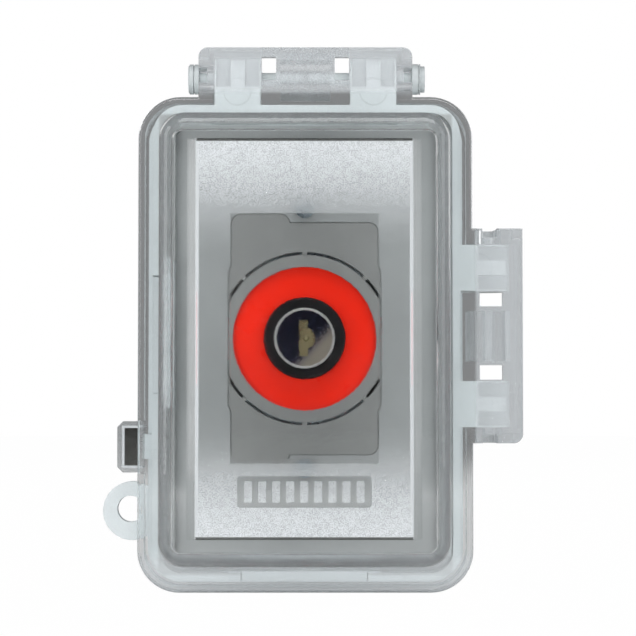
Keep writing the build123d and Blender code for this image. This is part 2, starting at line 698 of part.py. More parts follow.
def thumb_step(inset, depth, thickness, mode=Mode.ADD):
    """One step of the thumb tab, drawn in by an inset, with its outer corners cut off."""
    with BuildSketch(front(depth)) as outline:
        with Locations((LID_LEFT - (LATCH_REACH - inset) / 2, -LATCH_DROP)):
            Rectangle(LATCH_REACH - inset, LATCH_WIDTH - 2 * inset)
        chamfer(outline.vertices().group_by(Axis.X)[0], LATCH_CHAMFER)
    extrude(outline.sketch, amount=thickness, mode=mode)


with BuildPart() as lid_latch:
    latch_span = (-LATCH_DROP - LATCH_WIDTH / 2, -LATCH_DROP + LATCH_WIDTH / 2)
    arm_span = (LID_LEFT, LID_LEFT + LATCH_ARM)
    block(front(0), arm_span, latch_span, (LATCH_ARM_BACK, LATCH_ARM_FRONT))
    # The thumb recess goes down in steps inside a rim.
    tab_front = LATCH_TAB_BACK + LATCH_TAB + LATCH_STEP * (len(LATCH_STEPS) - 1)
    thumb_step(LATCH_STEPS[0], LATCH_TAB_BACK, tab_front - LATCH_TAB_BACK)
    for number, inset in enumerate(LATCH_STEPS[1:], start=1):
        thumb_step(inset, tab_front - number * LATCH_STEP, LATCH_STEP, Mode.SUBTRACT)
    # The rim stops short of the lid's edge.
    block(
        front(LATCH_TAB_BACK + LATCH_TAB),
        (LID_LEFT + LATCH_EDGE_SPAN[0], LID_LEFT + LATCH_ARM + LATCH_EDGE_SPAN[1]),
        latch_span,
        (0, LATCH_STEP * len(LATCH_STEPS)),
        Mode.SUBTRACT,
    )

# ---- hinge pins ----------------------------------------------------------------------------


def hinge_pin(side, heads):
    """A plain pin on one half of the top hinge, with its stepped head outside the lug."""
    outer = LUG_OUTER + PIN_HEAD_GAP
    bar(HINGE_TOP, side * (PIN_END + outer) / 2, PIN_RADIUS, outer - PIN_END)
    edge = outer
    for radius, length in heads:
        bar(HINGE_TOP, side * (edge + length / 2), radius, length)
        edge += length


with BuildPart() as hinge_pin_left:
    hinge_pin(-1, PIN_HEADS_LEFT)

with BuildPart() as hinge_pin_right:
    hinge_pin(1, PIN_HEADS_RIGHT)

# ---- key switch on its strap ---------------------------------------------------------------
with BuildPart() as device_screws:
    with Locations(front(FLOOR_FRONT)):
        with GridLocations(0, GANG_SCREW_SPACING, 1, 2):
            slotted_screw(*DEVICE_SCREW_HEAD, GANG_SCREW_RADIUS, DEVICE_SCREW_LENGTH)

with BuildPart() as yoke_strap:
    slab(YOKE_BACK, *YOKE_PLATE, YOKE_THICKNESS)
    slab(YOKE_BACK, *YOKE_TONGUE, YOKE_THICKNESS)
    disc(YOKE_BACK, BARREL_RADIUS + CLEAR, YOKE_THICKNESS, mode=Mode.SUBTRACT)
    for side in (1, -1):
        disc(
            YOKE_BACK,
            GANG_SCREW_RADIUS + CLEAR,
            YOKE_THICKNESS,
            (0, side * GANG_SCREW_SPACING / 2),
            Mode.SUBTRACT,
        )

with BuildPart() as red_faceplate:
    with BuildSketch(front(BOX_DEPTH)):
        Circle(RED_RADIUS)
        Circle(SPIGOT_RADIUS + CLEAR, mode=Mode.SUBTRACT)
    extrude(amount=RED_THICKNESS)

with BuildPart() as bezel_seal:
    disc(RED_FRONT, BEZEL_RADIUS - SEAL_INSET, SEAL_THICKNESS)
    disc(RED_FRONT, SPIGOT_RADIUS + CLEAR, SEAL_THICKNESS, mode=Mode.SUBTRACT)

with BuildPart() as bezel_ring:
    disc(BEZEL_BACK, BEZEL_RADIUS, BEZEL_HEIGHT)
    fillet(bezel_ring.faces().sort_by(Axis.Y)[0].edges(), BEZEL_EDGE)
    disc(SPIGOT_BACK, SPIGOT_RADIUS, BEZEL_BACK - SPIGOT_BACK)
    disc(LOCK_HEAD_BACK, LOCK_HEAD_RADIUS + LOCK_HEAD_FIT, BEZEL_HEIGHT, mode=Mode.SUBTRACT)
    disc(BOX_DEPTH, BARREL_RADIUS + CLEAR, LOCK_FRONT - BOX_DEPTH, mode=Mode.SUBTRACT)

with BuildPart() as lock_body:
    disc(LOCK_HEAD_BACK, LOCK_HEAD_RADIUS, LOCK_HEAD_HEIGHT)
    fillet(lock_body.faces().sort_by(Axis.Y)[0].edges(), LOCK_HEAD_EDGE)
    disc(BARREL_BACK, BARREL_RADIUS, LOCK_HEAD_BACK - BARREL_BACK)
    disc(
        PLUG_FACE - LOCK_FACE_THICKNESS,
        LOCK_FACE_RADIUS + PLUG_FIT,
        LOCK_HEAD_HEIGHT,
        mode=Mode.SUBTRACT,
    )
    disc(BARREL_BACK, PLUG_RADIUS + PLUG_FIT, LOCK_FRONT - BARREL_BACK, mode=Mode.SUBTRACT)


def keyway_shape():
    """A slot with a half-round bulge on its right, drawn in the sketch that is open."""
    Circle(KEYWAY_BULGE_RADIUS)
    with Locations((-KEYWAY_BULGE_RADIUS, 0)):
        Rectangle(2 * KEYWAY_BULGE_RADIUS, 2 * KEYWAY_BULGE_RADIUS, mode=Mode.SUBTRACT)
    with Locations((KEYWAY_X, 0)):
        Rectangle(*KEYWAY)


WAFER_PLACES = [WAFER_BACK + number * WAFER_PITCH for number in range(WAFER_COUNT)]

with BuildPart() as lock_plug:
    disc(PLUG_FACE - LOCK_FACE_THICKNESS, LOCK_FACE_RADIUS, LOCK_FACE_THICKNESS)
    disc(PLUG_BACK, PLUG_RADIUS, PLUG_FACE - PLUG_BACK)
    tail_span = (-TAIL_SIZE / 2, TAIL_SIZE / 2)
    block(front(0), tail_span, tail_span, (TAIL_BACK, PLUG_BACK))
    disc(TAIL_BACK, CAM_SCREW_RADIUS, CAM_SCREW_LENGTH + OVERCUT, mode=Mode.SUBTRACT)
    with BuildSketch(front(PLUG_FACE)):
        keyway_shape()
    extrude(amount=-KEYWAY_DEPTH, mode=Mode.SUBTRACT)
    block(
        front(0),
        (KEYWAY_X - KEY_CHANNEL[0], KEYWAY_X + KEY_CHANNEL[0]),
        (-KEY_CHANNEL[1], KEY_CHANNEL[1]),
        (WAFER_BACK, PLUG_FACE - KEYWAY_DEPTH),
        Mode.SUBTRACT,
    )
    for place in WAFER_PLACES:
        block(
            front(place),
            (-WAFER[0] / 2 - CLEAR, WAFER[0] / 2 + CLEAR),
            (-WAFER[1] / 2 - CLEAR, WAFER[1] / 2 + CLEAR),
            (-CLEAR, WAFER[2] + CLEAR),
            Mode.SUBTRACT,
        )
    # Three plain bars engraved beside the keyway.
    for mark_z in FACE_MARKS:
        block(
            front(PLUG_FACE),
            FACE_MARK_SPAN,
            (mark_z - FACE_MARK_HALF, mark_z + FACE_MARK_HALF),
            (-FACE_MARK_DEPTH, FACE_MARK_DEPTH),
            Mode.SUBTRACT,
        )

with BuildPart() as wafer_tumblers:
    for place in WAFER_PLACES:
        thickness = (0, WAFER[2])
        block(front(place), (-WAFER[0] / 2, WAFER[0] / 2), (-WAFER[1] / 2, WAFER[1] / 2), thickness)
        block(
            front(place),
            (KEYWAY_X - WAFER_WINDOW[0], KEYWAY_X + WAFER_WINDOW[0]),
            (-WAFER_WINDOW[1], WAFER_WINDOW[1]),
            thickness,
            Mode.SUBTRACT,
        )

with BuildPart() as keyway_shutter:
    shutter_back = PLUG_FACE - KEYWAY_DEPTH + CLEAR
    with BuildSketch(front(shutter_back)):
        keyway_shape()
        offset(amount=-CLEAR)
    extrude(amount=SHUTTER_THICKNESS)
    with Locations((SHUTTER_BALL / 4, -shutter_back - SHUTTER_THICKNESS, 0)):
        Sphere(SHUTTER_BALL / 2)

BRACKET_MIDDLE = (BRACKET_FRONT + BRACKET_BACK) / 2
BRACKET_SPAN = BRACKET_FRONT - BRACKET_BACK

with BuildPart() as switch_bracket:
    # A channel, open on its right, with the lock through both of its flanges.
    with BuildSketch(Plane.XY.offset(-BRACKET_HEIGHT / 2)) as bracket_section:
        with Locations((0, -BRACKET_MIDDLE)):
            Rectangle(2 * BRACKET_HALF_WIDTH, BRACKET_SPAN)
            fillet(bracket_section.vertices().group_by(Axis.X)[0], 2 * BRACKET_THICKNESS)
            with Locations((BRACKET_THICKNESS + BRACKET_HALF_WIDTH / 2, 0)):
                RectangleRounded(
                    3 * BRACKET_HALF_WIDTH,
                    BRACKET_SPAN - 2 * BRACKET_THICKNESS,
                    BRACKET_THICKNESS,
                    mode=Mode.SUBTRACT,
                )
    extrude(amount=BRACKET_HEIGHT)
    disc(
        BRACKET_BACK - OVERCUT,
        BARREL_RADIUS + OVERCUT,
        BRACKET_THICKNESS + 2 * OVERCUT,
        mode=Mode.SUBTRACT,
    )
    disc(
        BRACKET_FRONT - BRACKET_THICKNESS - OVERCUT,
        BARREL_RADIUS + CLEAR,
        BRACKET_THICKNESS + 2 * OVERCUT,
        mode=Mode.SUBTRACT,
    )
    with Locations(front(BRACKET_BACK)):
        with GridLocations(2 * SWITCH_SCREW_X, CASE_INNER + CASE_OUTER, 2, 2):
            Cylinder(SWITCH_SCREW_RADIUS + CLEAR, 4 * BRACKET_THICKNESS, mode=Mode.SUBTRACT)

with BuildPart() as lock_washer:
    washer_back = BRACKET_FRONT - BRACKET_THICKNESS - WASHER_THICKNESS
    disc(washer_back, NUT_ACROSS_FLATS / 2, WASHER_THICKNESS)
    disc(washer_back, BARREL_RADIUS + CLEAR, WASHER_THICKNESS, mode=Mode.SUBTRACT)
    with Locations(front(washer_back)):
        with PolarLocations(NUT_ACROSS_FLATS / 2, WASHER_NOTCHES):
            Cylinder(WASHER_NOTCH_RADIUS, 4 * WASHER_THICKNESS, mode=Mode.SUBTRACT)

with BuildPart() as lock_nut:
    with BuildSketch(front(washer_back - NUT_THICKNESS)):
        RegularPolygon(NUT_ACROSS_FLATS / 2, 6, major_radius=False)
        Circle(BARREL_RADIUS + CLEAR, mode=Mode.SUBTRACT)
    extrude(amount=NUT_THICKNESS)

# ---- cam -----------------------------------------------------------------------------------
CAM_RISE = CAM_TRAVEL / CAM_TURN


def cam_point(angle, lobe):
    """A point of a lobe's rising edge, by its angle past the follower at rest."""
    radius = CAM_START_RADIUS + CAM_RISE * angle
    bearing = radians(lobe + angle)
    return (radius * cos(bearing), radius * sin(bearing))


with BuildPart() as cam:
    ramp_steps = [-CAM_LEAD + CAM_RAMP * step / CAM_POINTS for step in range(CAM_POINTS + 1)]
    with BuildSketch(front(SWITCH_DEPTH - CAM_THICKNESS / 2)):
        with BuildLine():
            upper_ramp = Spline(*[cam_point(angle, 90) for angle in ramp_steps])
            lower_ramp = Spline(*[cam_point(angle, 270) for angle in ramp_steps])
            Line(upper_ramp @ 1, lower_ramp @ 0)
            Line(lower_ramp @ 1, upper_ramp @ 0)
        make_face()
        Rectangle(TAIL_SIZE + 2 * CLEAR, TAIL_SIZE + 2 * CLEAR, mode=Mode.SUBTRACT)
    extrude(amount=CAM_THICKNESS)

with BuildPart() as cam_screw:
    with Locations(Location((0, CAM_THICKNESS / 2 - SWITCH_DEPTH, 0), (-90, 0, 0))):
        slotted_screw(*CAM_SCREW_HEAD, CAM_SCREW_RADIUS, CAM_SCREW_LENGTH)

# ---- switches: one above the cam, one below ------------------------------------------------
SWITCH_UPPER = side_plane(0, SWITCH_DEPTH, 0, (1, 0, 0))
SWITCH_LOWER = side_plane(0, SWITCH_DEPTH, 0, (-1, 0, 0))
CASE_SPAN = (CASE_INNER, CASE_OUTER)
CAVITY_SPAN = (CASE_INNER + CASE_WALL, CASE_OUTER - CASE_WALL)
CASE_WIDTHS = (-CASE_HALF_WIDTH, CASE_HALF_WIDTH)
COVER_LINE = CASE_WALL - CASE_HALF_THICKNESS
FLANGE_LOW = CAVITY_SPAN[0] + CLEAR
FLANGE_HIGH = FLANGE_LOW + BUTTON_FLANGE
BRIDGE_HIGH = FLANGE_HIGH + BRIDGE[1]
CONTACT_LOW = BRIDGE_HIGH + CAM_TRAVEL + CLEAR
STRIP_SPAN = (-BRIDGE[2] / 2, BRIDGE[2] / 2)


def stem(plane, low, high, radius, mode=Mode.ADD):
    """A round stem along a plane's y axis, between two heights."""
    with Locations(plane):
        with Locations((0, (low + high) / 2, 0)):
            Cylinder(radius, high - low, rotation=(90, 0, 0), mode=mode)


def screw_holes(plane):
    """The two through holes beside a switch's cavity."""
    with Locations(plane):
        with Locations((0, (CASE_INNER + CASE_OUTER) / 2, 0)):
            with GridLocations(2 * SWITCH_SCREW_X, 0, 2, 1):
                Cylinder(
                    SWITCH_SCREW_RADIUS + CLEAR, 4 * CASE_HALF_THICKNESS, mode=Mode.SUBTRACT
                )


def switch_case(plane):
    """A switch's body, open at the back, with holes for its button and terminals."""
    block(plane, CASE_WIDTHS, CASE_SPAN, (COVER_LINE, CASE_HALF_THICKNESS))
    block(
        plane,
        (-CAVITY_HALF_WIDTH, CAVITY_HALF_WIDTH),
        CAVITY_SPAN,
        (COVER_LINE, -COVER_LINE),
        Mode.SUBTRACT,
    )
    stem(
        plane,
        CASE_INNER - OVERCUT,
        CAVITY_SPAN[0] + OVERCUT,
        BUTTON_RADIUS + PLUG_FIT,
        Mode.SUBTRACT,
    )
    for side in (-1, 1):
        inner = CONTACT_OUTER_X - CONTACT_STRIP - CLEAR
        slot = sorted((side * inner, side * (CONTACT_OUTER_X + CLEAR)))
        block(
            plane,
            slot,
            (CAVITY_SPAN[1] - OVERCUT, CASE_OUTER + OVERCUT),
            (STRIP_SPAN[0] - CLEAR, STRIP_SPAN[1] + CLEAR),
            Mode.SUBTRACT,
        )
    screw_holes(plane)


def plunger(plane):
    """A switch's push button, with a flange that keeps it in and a post for the spring."""
    stem(plane, CAM_START_RADIUS + CAM_GAP, FLANGE_LOW, BUTTON_RADIUS)
    stem(plane, FLANGE_LOW, FLANGE_HIGH, BUTTON_FLANGE_RADIUS)
    stem(plane, FLANGE_HIGH, BRIDGE_HIGH + POST_LENGTH, POST_RADIUS)


def contact_bridge(plane):
    """The strip that a plunger carries across to the fixed contacts."""
    block(plane, (-BRIDGE[0] / 2, BRIDGE[0] / 2), (FLANGE_HIGH, BRIDGE_HIGH), STRIP_SPAN)
    stem(plane, FLANGE_HIGH, BRIDGE_HIGH, POST_RADIUS + CLEAR, Mode.SUBTRACT)


def plunger_spring(side):
    """A coil spring between a contact bridge and the far wall of its case."""
    low = BRIDGE_HIGH + SPRING_WIRE
    height = CAVITY_SPAN[1] - SPRING_WIRE - low
    with BuildLine() as coil:
        Helix(
            height / SPRING_TURNS,
            height,
            SPRING_RADIUS,
            center=(0, -SWITCH_DEPTH, side * low),
            direction=(0, 0, side),
        )
    path = coil.line.edges()[0]
    with BuildSketch(Plane(origin=path @ 0, z_dir=path % 0)) as wire:
        Circle(SPRING_WIRE)
    sweep(wire.sketch, path=path)


with BuildPart() as switch_cases:
    for plane in (SWITCH_UPPER, SWITCH_LOWER):
        switch_case(plane)

with BuildPart() as switch_covers:
    for plane in (SWITCH_UPPER, SWITCH_LOWER):
        block(plane, CASE_WIDTHS, CASE_SPAN, (-CASE_HALF_THICKNESS, COVER_LINE))
        screw_holes(plane)

with BuildPart() as switch_screws:
    screw_length = 2 * CASE_HALF_THICKNESS + BRACKET_THICKNESS
    for plane in (SWITCH_UPPER, SWITCH_LOWER):
        for side in (-1, 1):
            place = (side * SWITCH_SCREW_X, (CASE_INNER + CASE_OUTER) / 2, -CASE_HALF_THICKNESS)
            with Locations(plane):
                with Locations(Location(place, (180, 0, 0))):
                    slotted_screw(*SWITCH_SCREW_HEAD, SWITCH_SCREW_RADIUS, screw_length)

with BuildPart() as fixed_contacts:
    for plane in (SWITCH_UPPER, SWITCH_LOWER):
        for side in (-1, 1):
            tip = sorted((side * CONTACT_TIP_X, side * CONTACT_OUTER_X))
            strip = sorted((side * (CONTACT_OUTER_X - CONTACT_STRIP), side * CONTACT_OUTER_X))
            block(plane, tip, (CONTACT_LOW, CONTACT_LOW + CONTACT_STRIP), STRIP_SPAN)
            block(plane, strip, (CONTACT_LOW, TERMINAL_END), STRIP_SPAN)

with BuildPart() as plunger_upper:
    plunger(SWITCH_UPPER)

with BuildPart() as plunger_lower:
    plunger(SWITCH_LOWER)

with BuildPart() as contact_bridge_upper:
    contact_bridge(SWITCH_UPPER)

with BuildPart() as contact_bridge_lower:
    contact_bridge(SWITCH_LOWER)

with BuildPart() as plunger_spring_upper:
    plunger_spring(1)

with BuildPart() as plunger_spring_lower:
    plunger_spring(-1)

# ---- files ---------------------------------------------------------------------------------
PIECES = {
    "back_box": back_box,
    "hub_plug": hub_plug,
    "ground_screw": ground_screw,
    "box_gasket": box_gasket,
    "base_frame": base_frame,
    "cord_port_left": cord_port_left,
    "cord_port_bottom": cord_port_bottom,
    "adapter_plate": adapter_plate,
    "lid": lid,
    "lid_latch": lid_latch,
    "hinge_pin_left": hinge_pin_left,
    "hinge_pin_right": hinge_pin_right,
    "device_screws": device_screws,
    "yoke_strap": yoke_strap,
    "red_faceplate": red_faceplate,
    "bezel_seal": bezel_seal,
    "bezel_ring": bezel_ring,
    "lock_body": lock_body,
    "lock_plug": lock_plug,
    "wafer_tumblers": wafer_tumblers,
    "keyway_shutter": keyway_shutter,
    "switch_bracket": switch_bracket,
    "lock_washer": lock_washer,
    "lock_nut": lock_nut,
    "cam": cam,
    "cam_screw": cam_screw,
    "switch_cases": switch_cases,
    "switch_covers": switch_covers,
    "switch_screws": switch_screws,
    "fixed_contacts": fixed_contacts,
    "plunger_upper": plunger_upper,
    "plunger_lower": plunger_lower,
    "contact_bridge_upper": contact_bridge_upper,
    "contact_bridge_lower": contact_bridge_lower,
    "plunger_spring_upper": plunger_spring_upper,
    "plunger_spring_lower": plunger_spring_lower,
}

os.makedirs("parts", exist_ok=True)
for name, piece in PIECES.items():
    piece.part.label = name
    export_step(piece.part, f"parts/{name}.step")
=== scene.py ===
import json
import math

import bpy
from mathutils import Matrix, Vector


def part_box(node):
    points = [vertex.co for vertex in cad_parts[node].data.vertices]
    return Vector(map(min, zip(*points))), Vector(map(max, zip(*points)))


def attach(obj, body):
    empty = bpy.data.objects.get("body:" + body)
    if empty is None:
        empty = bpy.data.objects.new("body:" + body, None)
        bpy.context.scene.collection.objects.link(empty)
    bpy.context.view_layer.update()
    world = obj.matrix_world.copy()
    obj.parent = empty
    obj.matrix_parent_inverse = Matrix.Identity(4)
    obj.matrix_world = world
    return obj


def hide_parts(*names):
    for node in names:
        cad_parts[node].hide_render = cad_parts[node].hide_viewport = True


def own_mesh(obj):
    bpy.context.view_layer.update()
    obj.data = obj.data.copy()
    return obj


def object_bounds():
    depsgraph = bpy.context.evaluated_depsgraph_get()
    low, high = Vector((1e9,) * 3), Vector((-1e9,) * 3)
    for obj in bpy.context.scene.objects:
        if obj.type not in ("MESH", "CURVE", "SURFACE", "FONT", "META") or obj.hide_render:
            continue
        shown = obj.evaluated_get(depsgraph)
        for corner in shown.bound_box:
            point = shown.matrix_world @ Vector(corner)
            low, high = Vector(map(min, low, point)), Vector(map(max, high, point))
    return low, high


MM = 0.001

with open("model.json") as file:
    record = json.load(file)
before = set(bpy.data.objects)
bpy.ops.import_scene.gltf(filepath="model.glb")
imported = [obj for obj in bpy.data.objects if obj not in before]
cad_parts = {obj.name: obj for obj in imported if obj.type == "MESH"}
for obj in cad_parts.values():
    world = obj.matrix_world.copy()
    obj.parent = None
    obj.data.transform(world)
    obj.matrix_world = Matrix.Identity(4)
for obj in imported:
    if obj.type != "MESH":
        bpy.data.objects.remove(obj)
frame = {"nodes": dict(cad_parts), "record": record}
cad_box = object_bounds()

# ---- places on the part, in the frame's metres ---------------------------------------------

LATCH_LOW, LATCH_HIGH = (Vector(corner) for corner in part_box("lid_latch"))
PANEL_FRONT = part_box("lid")[0][1]
FLANGE_FRONT = PANEL_FRONT + 51.3 * MM
FLOOR_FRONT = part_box("adapter_plate")[0][1]
COVER_CENTRE = Vector((0.3 * MM, 0, -2 * MM))
COVER_LEFT = -52.7 * MM

# Half widths and half heights, measured from the cover's centre.
WINDOW_HALF_WIDTH = 21.7 * MM
WINDOW_HALF_HEIGHT = 36.55 * MM
SHOULDER_INNER = 30.9 * MM
SHOULDER_OUTER = 31.95 * MM
PANEL_HALF_HEIGHT = 57.95 * MM
HOOD_HALF_WIDTH = 40.1 * MM
HOOD_HALF_HEIGHT = 63.9 * MM
RIM_HALF_WIDTH = 46.5 * MM
RIM_HALF_HEIGHT = 73 * MM
TOP_GUARD_START = 80 * MM
MIDDLE_KNUCKLE_HALF_WIDTH = 14 * MM

# Places along the frame's own axes.
RIGHT_GUARD_START = 54.25 * MM
LOW_EDGE = -69 * MM
TOP_BLOCK_START = 76.5 * MM
RIGHT_BLOCK_START = 53.5 * MM
POCKET_FLOOR = -63 * MM

# The two round ejector marks on the top hinge guard.
EJECTOR_X = 21.6 * MM
EJECTOR_Z = 78.05 * MM
EJECTOR_GROOVE_RADIUS = 4.3 * MM

# The thumb recess's pale rim and its middle, tinted dark with painted shade, measured in from the tab's
# edge.
THUMB_RIM_START = 1.4 * MM
THUMB_RIM_END = 2.1 * MM
THUMB_MIDDLE_START = 2.2 * MM

# ---- node helpers --------------------------------------------------------------------------


class Shader:
    """Builds one material's node tree. An input may be a value or another node's socket."""

    def __init__(self, name):
        self.material = bpy.data.materials.new(name)
        self.material.use_nodes = True
        self.tree = self.material.node_tree
        self.tree.nodes.clear()
        self.output = self.tree.nodes.new("ShaderNodeOutputMaterial")

    def node(self, kind, settings=None, **inputs):
        made = self.tree.nodes.new("ShaderNode" + kind)
        for key, value in (settings or {}).items():
            setattr(made, key, value)
        for key, value in inputs.items():
            name = int(key[1:]) if key[0] == "_" else key.replace("_", " ")
            self.feed(made.inputs[name], value)
        return made

    def feed(self, socket, value):
        if isinstance(value, bpy.types.NodeSocket):
            self.tree.links.new(value, socket)
        else:
            socket.default_value = value

    def math(self, operation, first, second=0.0):
        return self.node("Math", {"operation": operation}, _0=first, _1=second).outputs[0]

    def combine(self, operation, values):
        """Works through the values in turn with one operation."""
        result = values[0]
        for value in values[1:]:
            result = self.math(operation, result, value)
        return result

    def product(self, *values):
        return self.combine("MULTIPLY", values)

    def total(self, *values):
        return self.combine("ADD", values)

    def largest(self, *values):
        return self.combine("MAXIMUM", values)

    def inverse(self, share):
        return self.math("SUBTRACT", 1.0, share)

    def away(self, value, middle):
        """How far value is from middle, on either side."""
        return self.math("ABSOLUTE", self.math("SUBTRACT", value, middle))

    def ramp(self, value, low, high, start=0.0, end=1.0):
        """Maps low..high to start..end, with soft shoulders."""
        made = self.node("MapRange", {"interpolation_type": "SMOOTHSTEP"}, Value=value)
        for name, number in (("From Min", low), ("From Max", high), ("To Min", start), ("To Max", end)):
            self.feed(made.inputs[name], number)
        return made.outputs["Result"]

    def vary(self, noise, start, end):
        """Spreads the levels that most of a noise falls in over start..end."""
        return self.ramp(noise, 0.3, 0.7, start, end)

    def past(self, value, edge, blend):
        """One where value is past the edge and nought before it, blending over a band."""
        return self.ramp(value, edge - blend / 2, edge + blend / 2)

    def short_of(self, value, edge, blend):
        """One where value falls short of the edge and nought past it."""
        return self.ramp(value, edge + blend / 2, edge - blend / 2)

    def mix_colour(self, factor, first, second, blend="MIX"):
        made = self.node("Mix", {"data_type": "RGBA", "blend_type": blend})
        self.feed(made.inputs[0], factor)
        self.feed(made.inputs[6], first)
        self.feed(made.inputs[7], second)
        return made.outputs[2]

    def mix_shader(self, factor, first, second):
        return self.node("MixShader", None, _0=factor, _1=first, _2=second).outputs[0]

    def place(self):
        """Object coordinates, which stay with the piece when it moves."""
        return self.node("TexCoord").outputs["Object"]

    def axes(self):
        return self.node("SeparateXYZ", None, Vector=self.place()).outputs

    def cover_place(self):
        """Distances sideways and up or down from the cover's centre."""
        x, _, z = self.axes()
        return self.away(x, COVER_CENTRE.x), self.away(z, COVER_CENTRE.z)

    def noise(self, size, detail=2.0, roughness=0.5, vector=None):
        """Noise whose features are about size metres across."""
        made = self.node("TexNoise", None, Vector=vector or self.place())
        made.inputs["Scale"].default_value = 1.0 / size
        made.inputs["Detail"].default_value = detail
        made.inputs["Roughness"].default_value = roughness
        return made.outputs["Fac"]

    def grain(self, stretch, detail, roughness):
        """Noise drawn out along some axes: stretch counts its features in a metre on each."""
        mapping = self.node("Mapping", None, Vector=self.place(), Scale=stretch)
        return self.noise(1.0, detail, roughness, mapping.outputs[0])

    def bump(self, height, distance, strength=1.0, normal=None):
        made = self.node("Bump", None, Height=height, Strength=strength, Distance=distance)
        if normal is not None:
            self.feed(made.inputs["Normal"], normal)
        return made.outputs[0]

    def soft_edges(self, radius):
        return self.node("Bevel", {"samples": 4}, Radius=radius).outputs[0]

    def edge_mask(self, radius):
        """One along the edges, nought on the flats."""
        bevel = self.soft_edges(radius)
        normal = self.node("NewGeometry").outputs["Normal"]
        dot = self.node("VectorMath", {"operation": "DOT_PRODUCT"}, _0=bevel, _1=normal)
        return self.ramp(dot.outputs["Value"], 0.999, 0.9)

    def finish(self, surface):
        self.tree.links.new(surface, self.output.inputs["Surface"])
        return self.material


def rgb(red, green, blue):
    """A display colour, 0 to 255, as linear light."""
    channels = []
    for level in (red, green, blue):
        share = level / 255
        channels.append(share / 12.92 if share <= 0.04045 else ((share + 0.055) / 1.055) ** 2.4)
    return (*channels, 1.0)


def dim(colour, factor):
    return (*[channel * factor for channel in colour[:3]], 1.0)


# ---- clear plastic -------------------------------------------------------------------------

POLYCARBONATE_INDEX = 1.585
CLEAR_TINT = (0.95, 0.96, 0.965, 1)
# The tint for painted shade, and for the dark specks in the milky plastic.
DARK_TINT = (0.13, 0.13, 0.12, 1)
# The cloudy layer's colour, which also carries the painted light.
HAZE_AND_PAINTED_LIGHT_COLOUR = rgb(192, 196, 199)
LIGHT_THROUGH_WALLS = (0.95, 0.96, 0.96, 1)
LIGHT_THROUGH_FACE = (0.54, 0.55, 0.55, 1)
FACE_DEPTH = 5.5 * MM


def clear_plastic(name, roughness, zones):
    """Clear polycarbonate. Light for shadows goes straight through, so the inside is lit.

    zones works out, from a shader, where the surface is pebbled, milky, frosted or dark; the milky and
    frosted zones also carry painted light, and the dark zone painted shade.
    """
    shader = Shader(name)
    pebbled, milk_and_painted_light, frost_and_painted_light, dark = zones(shader)
    swirl = shader.noise(14 * MM, 3.0)
    ripple = shader.noise(0.9 * MM, 2.0)
    grains = shader.noise(0.36 * MM, 1.0, 0.4)
    patches = shader.noise(1.2 * MM, 2.0, 0.6)
    pebbles = shader.total(grains, shader.product(patches, 0.25))
    normal = shader.bump(pebbles, 0.11 * MM, pebbled, shader.bump(ripple, 0.012 * MM, 0.25))
    rough = shader.ramp(swirl, 0.35, 0.7, roughness, roughness + 0.03)
    rough = shader.total(rough, shader.product(pebbled, 0.12))
    haze_and_painted_light, dark = grainy_haze(shader, swirl, grains, patches, milk_and_painted_light, frost_and_painted_light, dark)
    tint = shader.mix_colour(dark, CLEAR_TINT, DARK_TINT)
    glass = shader.node("BsdfPrincipled", None, Base_Color=tint, Roughness=rough, Normal=normal)
    glass.inputs["IOR"].default_value = POLYCARBONATE_INDEX
    glass.inputs["Transmission Weight"].default_value = 1.0
    # The cloudy layer holds painted light as well as the plastic's own haze.
    cloud = shader.node("BsdfPrincipled", None, Base_Color=HAZE_AND_PAINTED_LIGHT_COLOUR, Roughness=0.35, Normal=normal)
    body = shader.mix_shader(haze_and_painted_light, glass.outputs[0], cloud.outputs[0])
    rays = shader.node("LightPath").outputs
    passing = shader.largest(rays["Is Shadow Ray"], rays["Is Diffuse Ray"])
    return shader.finish(shader.mix_shader(passing, body, see_through(shader)))


def grainy_haze(shader, swirl, grains, patches, milk_and_painted_light, frost_and_painted_light, dark):
    """How cloudy the plastic is, painted light in the milky and frosted zones included, with dark specks
    strewn where it is milky.
    """
    bright = shader.total(shader.product(grains, 0.7), shader.product(patches, 0.3))
    grainy = shader.product(milk_and_painted_light, shader.ramp(bright, 0.36, 0.62, 0.55, 1.0))
    haze_and_painted_light = shader.total(shader.ramp(swirl, 0.3, 0.8, 0.0, 0.004), grainy)
    haze_and_painted_light = shader.product(shader.largest(haze_and_painted_light, frost_and_painted_light), shader.inverse(dark))
    strewn = shader.ramp(milk_and_painted_light, 0.0, 0.4, 0.0, 0.26)
    specks = shader.product(shader.inverse(shader.ramp(bright, 0.36, 0.62)), strewn)
    return haze_and_painted_light, shader.largest(dark, specks)


def see_through(shader):
    """What shadow and diffuse rays meet: clear walls, and a front face that keeps some light out."""
    _, y, _ = shader.axes()
    on_face = shader.short_of(y, PANEL_FRONT + FACE_DEPTH, 1 * MM)
    shade = shader.mix_colour(on_face, LIGHT_THROUGH_WALLS, LIGHT_THROUGH_FACE)
    return shader.node("BsdfTransparent", None, Color=shade).outputs[0]


